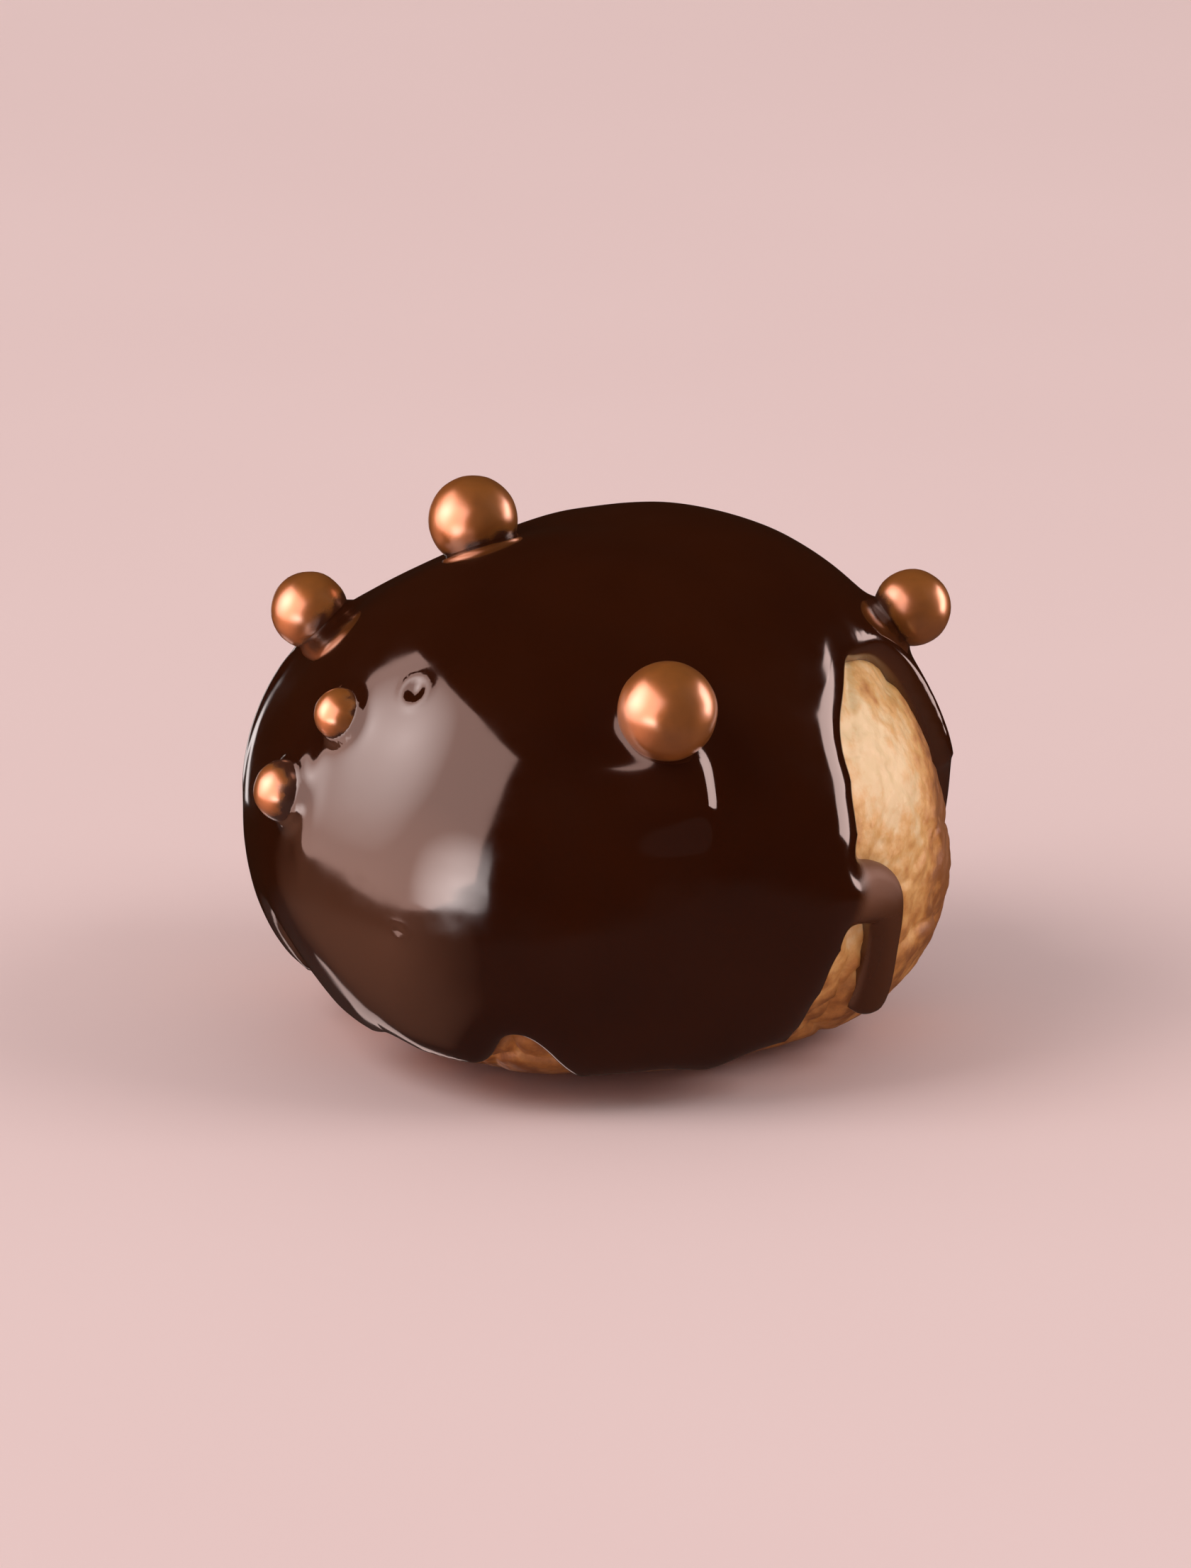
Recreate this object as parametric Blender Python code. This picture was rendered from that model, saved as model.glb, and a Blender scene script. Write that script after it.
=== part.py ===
"""Profiterole: a choux bun under a coat of poured chocolate, with sugar pearls stuck to it.

Run with: blender --background --python part.py

Metres, +Z up. The origin is the middle of the flat base. Azimuth 0 is the front, towards -Y, and it
grows towards +X. Polar angles run down from +Z, and both are measured about the bun's heart, the
middle of its widest ring.
"""

import math

import bmesh
import bpy
from mathutils import Vector, noise
from mathutils.kdtree import KDTree

MM = 0.001

# The bun's smooth form
BUN_RADIUS = 21.8 * MM
HEART_HEIGHT = 15.5 * MM  # of the widest ring, above the base
CROWN_HEIGHT = 17.8 * MM  # of the top, above the widest ring
KEEL_DEPTH = 18.4 * MM  # of the lower half before the base flattens it
BUN_SQUARENESS = 2.2  # 2 is an ellipse, and more is fuller
BASE_SINK = 0.6 * MM  # how far the rounded underside would go below the flat base
BASE_SOFTNESS = 14  # lower rounds the base's rim more
LUMP_HEIGHT = 0.9 * MM
LUMPS_ROUND = 1.7
LUMP_SEED = Vector((3.1, 7.4, 1.2))

# Broad swells and hollows: azimuth, polar angle and spread in degrees, and height
SWELLS = (
    (250.0, 46.0, 38.0, -2.6 * MM),
    (88.0, 112.0, 23.0, 2.2 * MM),
    (-72.0, 120.0, 24.0, -1.4 * MM),
    (180.0, 24.0, 26.0, -0.6 * MM),
    (94.0, 66.0, 22.0, -0.5 * MM),
)

# Crags in the crust, cut into the smooth form
CRAG_DEPTH = 0.9 * MM
CRAGS_ROUND = 3.4
CRAG_WIDTH = 0.28
CRAG_WARP = 0.35
CRAG_SEED = Vector((0.4, 2.2, 5.1))
CRAG_FADE_HEIGHT = 2.5 * MM  # the crags fade out this far above the base
BUN_CELLS = 18  # along each side of the cube that the bun starts as

# The chocolate coat
COAT_GAP = 0.35 * MM  # between the bun's smooth form and the coat
COAT_THICKNESS = 1.35 * MM
BEAD_THICKNESS = 0.55 * MM  # more, along the edge
BEAD_WIDTH = 1.3 * MM
COAT_SEGMENTS = 112
COAT_RINGS = 28  # from the top down to the edge and back up inside
RING_CROWDING = 1.5  # more crowds the rings towards the edge
EVENNESS = 0.55  # 0 spaces the segments evenly in azimuth, and more evenly along the edge
EDGE_SAMPLES = 7200

# The coat hangs down to this polar angle in drips, with waves: degrees, waves round, and phase.
DRIP_POLAR = 126.5
DRIP_WAVES = ((1.5, 5, 0.6), (1.1, 13, 2.1), (0.4, 23, 4.0))

# Arches in the coat's edge leave the crust bare: azimuth, half widths to the left and right, and
# rise, in degrees, then how blunt the top is and how upright the sides are. Two twos are an ellipse.
ARCHES = (
    (75.0, 28.0, 15.5, 69.0, 1.5, 8.4),
    (92.0, 18.0, 18.0, 41.0, 1.6, 1.6),
    (-12.0, 7.0, 7.0, 9.0, 1.6, 1.6),
    (130.0, 10.5, 10.5, 34.0, 2.0, 2.0),
    (168.5, 13.0, 13.0, 54.0, 2.2, 2.2),
    (206.0, 10.5, 10.5, 25.0, 1.9, 1.9),
    (243.0, 13.0, 13.0, 50.0, 2.4, 2.4),
    (281.0, 9.0, 9.0, 18.0, 1.9, 1.9),
)
EDGE_SOFTNESS = 1.8  # degrees, over which the arches' feet are rounded into drips

# A rivulet that leaves the coat's edge and runs down across the widest arch: azimuth and polar
# angle in degrees, and its half width
RIVULET = (
    (43.0, 94.0, 1.9 * MM),
    (49.0, 95.3, 2.1 * MM),
    (54.0, 96.3, 2.1 * MM),
    (58.2, 98.4, 1.8 * MM),
    (60.0, 102.5, 1.6 * MM),
    (61.2, 107.5, 1.4 * MM),
    (63.0, 112.5, 1.4 * MM),
    (65.0, 117.0, 1.4 * MM),
    (66.5, 121.0, 1.0 * MM),
)
RIVULET_THICKNESS = 1.4 * MM
RIVULET_FOOT = 0.15 * MM  # its underside's height above the coat's
UNDERSIDE_SHARE = 0.04  # what is left of the round underside once it is pressed flat

# Sugar pearls: azimuth, polar angle and diameter, and how far each is sunk into the coat
PEARLS = (
    (13.0, 61.5, 6.3 * MM, 1.2 * MM),
    (-123.5, 27.5, 5.8 * MM, 1.1 * MM),
    (-97.0, 56.5, 5.0 * MM, 1.0 * MM),
    (-48.8, 65.5, 3.4 * MM, 1.45 * MM),
    (-58.0, 80.0, 4.0 * MM, 1.5 * MM),
    (97.0, 60.0, 5.0 * MM, 0.6 * MM),
    (152.0, 68.0, 5.8 * MM, 1.1 * MM),
    (144.0, 98.0, 5.0 * MM, 1.1 * MM),
    (188.0, 73.0, 6.2 * MM, 1.2 * MM),
    (217.0, 84.0, 5.4 * MM, 1.1 * MM),
)
PEARL_SUBDIVISIONS = 2

CRUST_COLOUR = (0.66, 0.33, 0.11, 1.0)
CHOCOLATE_COLOUR = (0.050, 0.016, 0.006, 1.0)

HEART = Vector((0, 0, HEART_HEIGHT))
SOFTENING = ((-1.5, 0.1), (-1, 0.15), (-0.5, 0.15), (0, 0.2), (0.5, 0.15), (1, 0.15), (1.5, 0.1))


def clear_scene():
    for obj in list(bpy.data.objects):
        bpy.data.objects.remove(obj, do_unlink=True)


def new_collection(name):
    collection = bpy.data.collections.new(name)
    bpy.context.scene.collection.children.link(collection)
    return collection


def food_material(name, colour, roughness):
    material = bpy.data.materials.new(name)
    material.use_nodes = True
    shader = material.node_tree.nodes["Principled BSDF"]
    shader.inputs["Base Color"].default_value = colour
    shader.inputs["Roughness"].default_value = roughness
    shader.inputs["Metallic"].default_value = 0.0
    return material


def mesh_object(name, bm, collection, material=None):
    bmesh.ops.triangulate(bm, faces=bm.faces[:], quad_method="SHORT_EDGE")
    mesh = bpy.data.meshes.new(name)
    bm.to_mesh(mesh)
    bm.free()
    mesh.shade_smooth()
    if material:
        mesh.materials.append(material)
    obj = bpy.data.objects.new(name, mesh)
    collection.objects.link(obj)
    return obj


def direction_of(azimuth, polar):
    """The unit vector at an azimuth and polar angle, in radians."""
    level = math.sin(polar)
    return Vector((level * math.sin(azimuth), -level * math.cos(azimuth), math.cos(polar)))


def soft_min(a, b, firmness):
    return (a**-firmness + b**-firmness) ** (-1 / firmness)


def bun_reach(direction):
    """How far the bun's smooth form lies from its heart along a unit direction."""
    level = math.hypot(direction.x, direction.y)
    height = CROWN_HEIGHT if direction.z > 0 else KEEL_DEPTH
    reach = (
        (level / BUN_RADIUS) ** BUN_SQUARENESS + (abs(direction.z) / height) ** BUN_SQUARENESS
    ) ** (-1 / BUN_SQUARENESS)
    reach += LUMP_HEIGHT * noise.noise(direction * LUMPS_ROUND + LUMP_SEED)
    for azimuth, polar, spread, height in SWELLS:
        away = direction.angle(direction_of(math.radians(azimuth), math.radians(polar)))
        reach += height * math.exp(-((away / math.radians(spread)) ** 2))
    if direction.z < -0.05:
        reach = soft_min(reach, (HEART_HEIGHT + BASE_SINK) / -direction.z, BASE_SOFTNESS)
    return reach


def on_bun(direction, outward=0.0):
    """The point this far outside the smooth form, kept at or above the flat base."""
    point = HEART + direction * (bun_reach(direction) + outward)
    point.z = max(point.z, 0.0)
    return point


def crag_depth(direction):
    """How deep the crust's cracks are cut along a direction."""
    warp = noise.noise_vector(direction * CRAGS_ROUND) * CRAG_WARP
    nearest, second = noise.voronoi(direction * CRAGS_ROUND + warp + CRAG_SEED)[0][:2]
    crack = max(0.0, 1 - (second - nearest) / CRAG_WIDTH)
    height = HEART_HEIGHT + direction.z * bun_reach(direction)
    fade = min(1.0, max(0.0, height / CRAG_FADE_HEIGHT))
    return CRAG_DEPTH * crack * crack * fade


def make_bun(collection):
    """A cube's faces divided, blown up to the bun's form and cut by the crags."""
    bm = bmesh.new()
    bmesh.ops.create_cube(bm, size=2.0)
    bmesh.ops.subdivide_edges(bm, edges=bm.edges[:], cuts=BUN_CELLS - 1, use_grid_fill=True)
    for vertex in bm.verts:
        # The tangent spreads the cube's cells evenly over the sphere.
        spread = Vector(math.tan(side * math.pi / 4) for side in vertex.co)
        direction = spread.normalized()
        vertex.co = on_bun(direction, -crag_depth(direction))
    return mesh_object("choux_bun", bm, collection, food_material("choux", CRUST_COLOUR, 0.6))


def sharp_edge(azimuth):
    """The polar angle, in degrees, at which the coat would end if its drips had corners."""
    edge = DRIP_POLAR
    for height, waves, phase in DRIP_WAVES:
        edge += height * math.sin(waves * azimuth + phase)
    arch = 0.0
    for middle, left, right, rise, bluntness, uprightness in ARCHES:
        away = math.degrees(math.remainder(azimuth - math.radians(middle), math.tau))
        away = -away / left if away < 0 else away / right
        if away < 1:
            arch = max(arch, rise * (1 - away**bluntness) ** (1 / uprightness))
    return edge - arch


def coat_edge(azimuth):
    """The polar angle at which the coat ends, in radians."""
    step = math.radians(EDGE_SOFTNESS)
    softened = sum(share * sharp_edge(azimuth + i * step) for i, share in SOFTENING)
    return math.radians(softened)


def even_azimuths():
    """Azimuths for the coat's segments, closer together where the edge is steep."""
    samples = [math.tau * i / EDGE_SAMPLES for i in range(EDGE_SAMPLES + 1)]
    lengths = [0.0]
    for before, after in zip(samples, samples[1:]):
        step = math.hypot(after - before, EVENNESS * (coat_edge(after) - coat_edge(before)))
        lengths.append(lengths[-1] + step)
    azimuths = []
    i = 0
    for segment in range(COAT_SEGMENTS):
        wanted = lengths[-1] * segment / COAT_SEGMENTS
        while lengths[i + 1] < wanted:
            i += 1
        share = (wanted - lengths[i]) / (lengths[i + 1] - lengths[i])
        azimuths.append(samples[i] + share * (samples[i + 1] - samples[i]))
    return azimuths


def coat_height(to_edge):
    """The coat's thickness, this far inside its edge: a round lip and a bead behind it."""
    height = COAT_THICKNESS + BEAD_THICKNESS * math.exp(-to_edge / BEAD_WIDTH)
    lip = max(0.0, 1 - to_edge / height)
    return height * math.sqrt(1 - lip * lip)


def make_coat(collection):
    """A ball pushed in from below: its upper half is the outside, its lower half the inside."""
    azimuths = even_azimuths()
    edge_line = KDTree(EDGE_SAMPLES)
    for sample in range(EDGE_SAMPLES):
        azimuth = math.tau * sample / EDGE_SAMPLES
        edge_line.insert(direction_of(azimuth, coat_edge(azimuth)), sample)
    edge_line.balance()
    bm = bmesh.new()
    bmesh.ops.create_uvsphere(bm, u_segments=COAT_SEGMENTS, v_segments=COAT_RINGS, radius=1.0)
    for vertex in bm.verts:
        around = math.atan2(vertex.co.x, -vertex.co.y) / math.tau
        azimuth = azimuths[round(around * COAT_SEGMENTS) % COAT_SEGMENTS]
        from_pole = math.acos(min(1.0, abs(vertex.co.z))) / (math.pi / 2)
        along = 1 - (1 - from_pole) ** RING_CROWDING
        edge = coat_edge(azimuth)
        direction = direction_of(azimuth, edge * along)
        to_edge = edge_line.find(direction)[2] * BUN_RADIUS
        inside = vertex.co.z < -1e-6
        at_lip = abs(vertex.co.z) <= 1e-6
        rise = 0.0 if inside else coat_height(to_edge)
        if at_lip:
            rise = COAT_THICKNESS / 3
        vertex.co = on_bun(direction, COAT_GAP + rise)
    return mesh_object(
        "chocolate_coat", bm, collection, food_material("chocolate", CHOCOLATE_COLOUR, 0.12)
    )


def make_rivulet(collection):
    """A tube along the rivulet's path, flattened onto the bun."""
    curve = bpy.data.curves.new("rivulet", "CURVE")
    curve.dimensions = "3D"
    curve.bevel_depth = 1.0
    curve.bevel_resolution = 2
    curve.resolution_u = 4
    curve.use_fill_caps = True
    spline = curve.splines.new("NURBS")
    spline.points.add(len(RIVULET) - 1)
    spline.use_endpoint_u = True
    spline.order_u = 3
    for point, (azimuth, polar, half_width) in zip(spline.points, RIVULET):
        direction = direction_of(math.radians(azimuth), math.radians(polar))
        point.co = (*on_bun(direction, COAT_GAP + RIVULET_FOOT), 1.0)
        point.radius = half_width
    tube = bpy.data.objects.new("rivulet_tube", curve)
    bpy.context.scene.collection.objects.link(tube)
    bpy.context.view_layer.update()
    mesh = bpy.data.meshes.new_from_object(tube.evaluated_get(bpy.context.evaluated_depsgraph_get()))
    bpy.data.objects.remove(tube)
    bm = bmesh.new()
    bm.from_mesh(mesh)
    bpy.data.meshes.remove(mesh)
    bmesh.ops.remove_doubles(bm, verts=bm.verts[:], dist=0.01 * MM)
    for vertex in bm.verts:
        direction = (vertex.co - HEART).normalized()
        foot = bun_reach(direction) + COAT_GAP + RIVULET_FOOT
        above = (vertex.co - HEART).length - foot
        above *= RIVULET_THICKNESS / RIVULET[3][2] if above > 0 else UNDERSIDE_SHARE
        vertex.co = HEART + direction * (foot + above)
    return mesh_object("rivulet", bm, collection)


def make_pearl(number, azimuth, polar, diameter, sink, collection):
    bm = bmesh.new()
    bmesh.ops.create_icosphere(bm, subdivisions=PEARL_SUBDIVISIONS, radius=diameter / 2)
    direction = direction_of(math.radians(azimuth), math.radians(polar))
    pearl = mesh_object(f"pearl_{number}", bm, collection)
    pearl.location = on_bun(direction, COAT_GAP + COAT_THICKNESS + diameter / 2 - sink)
    return pearl


def fuse(obj, collection):
    """Joins a collection's solids to the object, and removes them."""
    union = obj.modifiers.new("union", "BOOLEAN")
    union.operation = "UNION"
    union.operand_type = "COLLECTION"
    union.collection = collection
    union.solver = "EXACT"
    bpy.context.view_layer.update()
    graph = bpy.context.evaluated_depsgraph_get()
    joined = bpy.data.meshes.new_from_object(obj.evaluated_get(graph))
    obj.modifiers.remove(union)
    obj.data = joined
    for extra in list(collection.objects):
        bpy.data.objects.remove(extra, do_unlink=True)
    bpy.data.collections.remove(collection)


def main():
    clear_scene()
    profiterole = new_collection("profiterole")
    toppings = new_collection("toppings")
    make_bun(profiterole)
    coat = make_coat(profiterole)
    make_rivulet(toppings)
    for number, pearl in enumerate(PEARLS, 1):
        make_pearl(number, *pearl, toppings)
    bpy.context.view_layer.update()
    fuse(coat, toppings)


main()
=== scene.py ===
"""Looks of the profiterole: a choux bun under poured dark chocolate, with sugar pearls stuck to it.

Metres, +Z up. The front is towards -Y. A direction is a unit vector from the bun's heart, and is
also given as an azimuth, 0 at the front and growing towards +X, and a polar angle down from +Z.
"""

import math

import bmesh
import bpy
import numpy as np
from mathutils import Matrix, Vector, geometry, noise
from mathutils.kdtree import KDTree

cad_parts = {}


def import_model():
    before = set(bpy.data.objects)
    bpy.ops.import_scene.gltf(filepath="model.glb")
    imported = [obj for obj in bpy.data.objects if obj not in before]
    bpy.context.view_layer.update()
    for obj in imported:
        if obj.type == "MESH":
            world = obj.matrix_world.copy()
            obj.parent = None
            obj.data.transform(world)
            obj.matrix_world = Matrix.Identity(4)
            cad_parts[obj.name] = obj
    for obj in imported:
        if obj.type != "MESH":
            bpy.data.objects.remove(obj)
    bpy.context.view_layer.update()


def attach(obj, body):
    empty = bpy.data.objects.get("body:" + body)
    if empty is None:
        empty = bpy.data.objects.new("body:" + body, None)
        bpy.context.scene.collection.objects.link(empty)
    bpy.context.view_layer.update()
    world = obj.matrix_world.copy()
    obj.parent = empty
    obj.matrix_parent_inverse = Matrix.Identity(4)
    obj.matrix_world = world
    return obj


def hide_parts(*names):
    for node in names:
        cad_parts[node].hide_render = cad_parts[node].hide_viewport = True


MM = 0.001

# The bun's smooth form, as in the solid
BUN_RADIUS = 21.8 * MM
HEART_HEIGHT = 15.5 * MM
CROWN_HEIGHT = 17.8 * MM
KEEL_DEPTH = 18.4 * MM
BUN_SQUARENESS = 2.2
BASE_SINK = 0.6 * MM
BASE_SOFTNESS = 14
BASE_SLOPE = 0.05  # of the directions, downwards, from which the flat base is worked out
LUMP_HEIGHT = 0.9 * MM
LUMPS_ROUND = 1.7
LUMP_SEED = (3.1, 7.4, 1.2)
SWELLS = (  # azimuth, polar angle and spread in degrees, and height
    (250.0, 46.0, 38.0, -2.6 * MM),
    (88.0, 112.0, 23.0, 2.2 * MM),
    (-72.0, 120.0, 24.0, -1.4 * MM),
    (180.0, 24.0, 26.0, -0.6 * MM),
    (94.0, 66.0, 22.0, -0.5 * MM),
)

# Crags in the crust, of the solid's size and number but in a pattern of their own
CRAG_DEPTH = 0.9 * MM
CRAGS_ROUND = 3.4
CRAG_WIDTH = 0.28
CRAG_WARP = 0.35
CRAG_SEED = (0.4, 2.2, 5.1)
WARP_SEEDS = ((0.0, 0.0, 0.0), (5.3, 1.9, 8.2), (9.1, 6.4, 2.7))  # along X, Y and Z
CRAG_FADE_HEIGHT = 2.5 * MM

# The chocolate coat, with the solid's edge, but a thinner bead and a rivulet of its own shape
COAT_RISE = 1.7 * MM  # its outside above the bun's smooth form
BEAD_THICKNESS = 0.5 * MM
BEAD_WIDTH = 1.3 * MM
DRIP_POLAR = 126.5
DRIP_WAVES = ((1.5, 5, 0.6), (1.1, 13, 2.1), (0.4, 23, 4.0))
# Azimuth, half widths to the left and right, and rise, in degrees, then how blunt the top is and
# how upright the sides are
ARCHES = (
    (75.0, 28.0, 15.5, 69.0, 1.5, 8.4),
    (92.0, 18.0, 18.0, 41.0, 1.6, 1.6),
    (-12.0, 7.0, 7.0, 9.0, 1.6, 1.6),
    (130.0, 10.5, 10.5, 34.0, 2.0, 2.0),
    (168.5, 13.0, 13.0, 54.0, 2.2, 2.2),
    (206.0, 10.5, 10.5, 25.0, 1.9, 1.9),
    (243.0, 13.0, 13.0, 50.0, 2.4, 2.4),
    (281.0, 9.0, 9.0, 18.0, 1.9, 1.9),
)
EDGE_SOFTNESS = 1.8
SOFTENING = ((-1.5, 0.1), (-1, 0.15), (-0.5, 0.15), (0, 0.2), (0.5, 0.15), (1, 0.15), (1.5, 0.1))
RIVULET = (  # azimuth and polar angle in degrees, and half width
    (43.0, 94.0, 2.0 * MM),
    (49.0, 95.3, 2.2 * MM),
    (54.0, 96.3, 2.1 * MM),
    (58.2, 98.4, 1.75 * MM),
    (60.0, 102.5, 1.45 * MM),
    (61.2, 107.5, 1.25 * MM),
    (63.0, 112.5, 1.2 * MM),
    (65.0, 117.0, 1.25 * MM),
    (66.0, 119.5, 1.25 * MM),
)
# Azimuth, polar angle, diameter and sink, as in the solid, then the height of the chocolate's
# skirt and how far up the chocolate has wetted the pearl, from -1 at its foot to 1 at its top
PEARLS = (
    (13.0, 61.5, 6.3 * MM, 1.2 * MM, 0.35 * MM, -0.62),
    (-123.5, 27.5, 5.8 * MM, 1.1 * MM, 0.6 * MM, -0.5),
    (-97.0, 56.5, 5.0 * MM, 1.0 * MM, 0.7 * MM, -0.35),
    (-48.8, 65.5, 3.4 * MM, 1.45 * MM, 0.6 * MM, 0.35),
    (-58.0, 80.0, 4.0 * MM, 1.5 * MM, 0.8 * MM, 0.6),
    (97.0, 60.0, 5.0 * MM, 0.6 * MM, 0.6 * MM, -0.5),
    (152.0, 68.0, 5.8 * MM, 1.1 * MM, 0.5 * MM, -0.55),
    (144.0, 98.0, 5.0 * MM, 1.1 * MM, 0.6 * MM, 0.0),
    (188.0, 73.0, 6.2 * MM, 1.2 * MM, 0.5 * MM, -0.6),
    (217.0, 84.0, 5.4 * MM, 1.1 * MM, 0.6 * MM, -0.4),
)
RIVULET_RISE = 1.3 * MM
RIVULET_BLEND = (-1.2 * MM, 0.8 * MM)  # inside the coat's edge, where it turns into the coat
PEARL_SUBDIVISIONS = 5  # one less for a small pearl
SMALL_PEARL = 5.5 * MM
PEARL_BUMPS = (  # height, waves round, and seed, of which the first grows with the pearl's number
    (0.035 * MM, 2.2, (3.7, 1.0, 2.0)),
    (0.006 * MM, 9, (1.3, 4.0, 5.0)),
)
FILM_RAGGEDNESS = 0.3  # of the wetted part's border
FILM_FADE = 0.16

# The coat's mesh
EDGE_SAMPLES = 9000
COAT_CELLS = 116  # along each side of the cube that it starts as
COAT_LIP = 3.0 * MM  # the width over which the lip rounds down to its edge
FAR_LIP = 1.5 * MM  # the same on the side of the widest arch that faces away in the photo
FAR_LIP_STARTS = (68, 80)  # degrees of azimuth over which the far lip begins
FAR_LIP_ENDS = (110, 125)
RIVULET_LIP = 1.25 * MM
SMOOTHINGS = 14  # of the heights, to round the ridge where two lips meet
LIP_START = 0.9 * MM  # from the edge inwards, where the grid gives way to rows along the lip
LIP_ROWS = (0.72, 0.55, 0.40, 0.27, 0.16, 0.08, 0.03, 0.0)  # mm inside the edge
FOOT_ROWS = ((0.02, -0.3), (0.1, -0.8))  # mm inside the edge, and above the bun's smooth form
JOIN_SOFTNESS = 1.6 * MM  # of the corner where the rivulet leaves the coat
GRID_SCALE = 22.3 * MM  # the radius that turns directions into lengths along the crust
SLOPE_STEP = 0.04 * MM
LEAST_SLOPE = 0.2
SNAP = 0.28  # of a cell: corners this near the grid's rim are moved onto it instead of cut off
LINING_POINTS = 3000
LINING_START = 1.2 * MM  # from the edge inwards
FOOT_SHADE = 0.35  # how much of the rivulet's paler colour is left at its foot
FOOT_LEVELS = (-0.2, -0.07)  # heights of directions over which that comes in

# Low relief on the chocolate
CALM_LIP = (0.3 * MM, 2.5 * MM)  # inside the edge, over which the relief comes in
LOWER_SIDE = (-0.25, 0.35)  # heights of directions over which the coat's lower side ends
SWELL_WAVES = (  # height, waves round, share of it near the top, and seed
    (0.13 * MM, 2.4, 1.0, (5.0, 1.0, 9.0)),
    (0.034 * MM, 6.5, 0.5, (2.0, 8.0, 3.0)),
    (0.009 * MM, 17.0, 0.25, (6.0, 2.0, 7.0)),
)
SKIRT_WIDTH = 0.55 * MM
RUNS = (  # ridges of run chocolate: azimuth, polar angles, half widths to each side, height
    (15.9, 66.5, 84.0, 3.9 * MM, 1.1 * MM, 1.0 * MM),
    (13.5, 78.0, 108.0, 1.4 * MM, 0.8 * MM, 0.1 * MM),
    (-52.0, 72.0, 96.0, 0.9 * MM, 0.9 * MM, 0.15 * MM),
    (-97.0, 64.0, 96.0, 1.1 * MM, 1.1 * MM, 0.2 * MM),
    (152.0, 76.0, 108.0, 1.0 * MM, 1.0 * MM, 0.25 * MM),
    (188.0, 82.0, 118.0, 1.3 * MM, 1.3 * MM, 0.25 * MM),
    (217.0, 92.0, 120.0, 1.0 * MM, 1.0 * MM, 0.2 * MM),
)
RUN_WANDER = 1.2  # degrees to each side
RUN_BENDS = 7  # degrees of polar angle for each radian of wandering
RUN_HEAD = (3, 4)  # degrees before and after its top over which a run comes in
RUN_TAIL = 9  # degrees before its bottom over which it runs out
DIMPLES = (  # azimuth, polar angle, radius and depth
    (-33.9, 59.1, 0.6 * MM, 0.26 * MM),
    (-31.0, 97.0, 0.3 * MM, 0.1 * MM),
    (38.0, 47.0, 0.35 * MM, 0.12 * MM),
    (5.0, 104.0, 0.3 * MM, 0.1 * MM),
    (128.0, 70.0, 0.4 * MM, 0.14 * MM),
    (230.0, 58.0, 0.4 * MM, 0.12 * MM),
    (172.0, 100.0, 0.3 * MM, 0.1 * MM),
)
DIMPLE_RIM = (0.35, 1.6, 0.5)  # height in depths, then place and width in radii

# The bun's mesh and its finer relief
PUFFS = (  # where the crust bulges out between drips: azimuth, polar angle, spread and height
    (88.0, 98.0, 22.0, 0.7 * MM),
)
BLOTCHES_AND_PAINTED_LIGHT = (  # browner or paler spots: azimuth, polar angle, radius in degrees, and how much. The small browner ones near the top are the crust's own colour; the browner ones towards the far side of the bare patch are partly baked colour and partly painted shade; the paler ones in its middle are painted sheen over the crust's colour
    (70.0, 65.0, 3.2, 0.22),
    (57.0, 72.0, 2.6, 0.2),
    (63.0, 67.5, 3.5, -0.15),
    (66.0, 84.0, 8.0, -0.2),
    (86.0, 86.0, 6.0, 0.2),
    (84.0, 96.0, 8.0, 0.4),
    (79.0, 106.0, 9.0, 0.35),
    (88.0, 82.0, 13.0, 0.6),
    (90.0, 100.0, 13.0, 0.4),
    (61.0, 78.0, 13.0, -0.28),
)
CRUST_RELIEF = (  # blisters, pimples and grain: height, waves round and seed
    (0.14 * MM, 11, (4.0, 1.0, 2.0)),
    (0.07 * MM, 26, (7.0, 3.0, 1.0)),
    (0.03 * MM, 60, (1.0, 9.0, 5.0)),
)
CRUST_SINK = 0.1 * MM  # to keep the relief within the solid's size
CRAG_SHARE = 0.7  # of the solid's crags
SMOOTH_CRUST = (64.0, 78.0, 34.0, 0.88)  # azimuth, polar angle, spread, and share of crags lost
BUN_CELLS = 62
BUN_CUTS = 2  # more in each cell where the crust shows
BUN_OVERLAP = 0.8 * MM  # how far under the coat those cells go
UNDERSIDE = -0.86  # height of the directions below which nothing shows

# How brown the crust is, from about 0 where it is palest to 1, with painted shade towards the far
# side and a painted sheen in the middle of the bare patch from some of the spots
BROWN_START = 0.16
BROWN_PATCHES = 0.3
PATCHES_ROUND = 3.1
PATCH_SEED = (8.0, 2.0, 6.0)
BROWN_RIDGES = 0.2
BROWN_PIMPLES = 0.2
BROWN_BELOW = 0.35
BELOW_LEVELS = (0.1, 0.75)  # of the directions, downwards, over which it comes in
BROWN_AROUND = 0.2  # away from the pale front of the widest arch
AROUND_SPREAD = 55

HEART = np.array((0.0, 0.0, HEART_HEIGHT))


# --- directions and fields ---------------------------------------------------------------------


def directions_of(azimuth, polar):
    """Unit vectors at azimuths and polar angles in radians."""
    level = np.sin(polar)
    return np.stack(
        (level * np.sin(azimuth), -level * np.cos(azimuth), np.cos(polar)), axis=-1
    )


def direction_at(azimuth, polar):
    return directions_of(math.radians(azimuth), math.radians(polar))


def angles_of(directions):
    """The azimuth and polar angle of each direction, in radians."""
    azimuth = np.arctan2(directions[:, 0], -directions[:, 1])
    return azimuth, np.arccos(np.clip(directions[:, 2], -1, 1))


def angle_from(directions, azimuth, polar):
    """How far each direction turns from the one at these degrees, in radians."""
    return np.arccos(np.clip(directions @ direction_at(azimuth, polar), -1, 1))


def length_from(directions, point):
    """How far each direction is from another one along the crust, in metres."""
    return np.linalg.norm(directions - point, axis=1) * GRID_SCALE


def perlin(points):
    return np.array([noise.noise(point) for point in points.tolist()])


def unit(vectors):
    return vectors / np.linalg.norm(vectors, axis=-1, keepdims=True)


def smoothstep(low, high, value):
    t = np.clip((value - low) / (high - low), 0, 1)
    return t * t * (3 - 2 * t)


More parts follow.
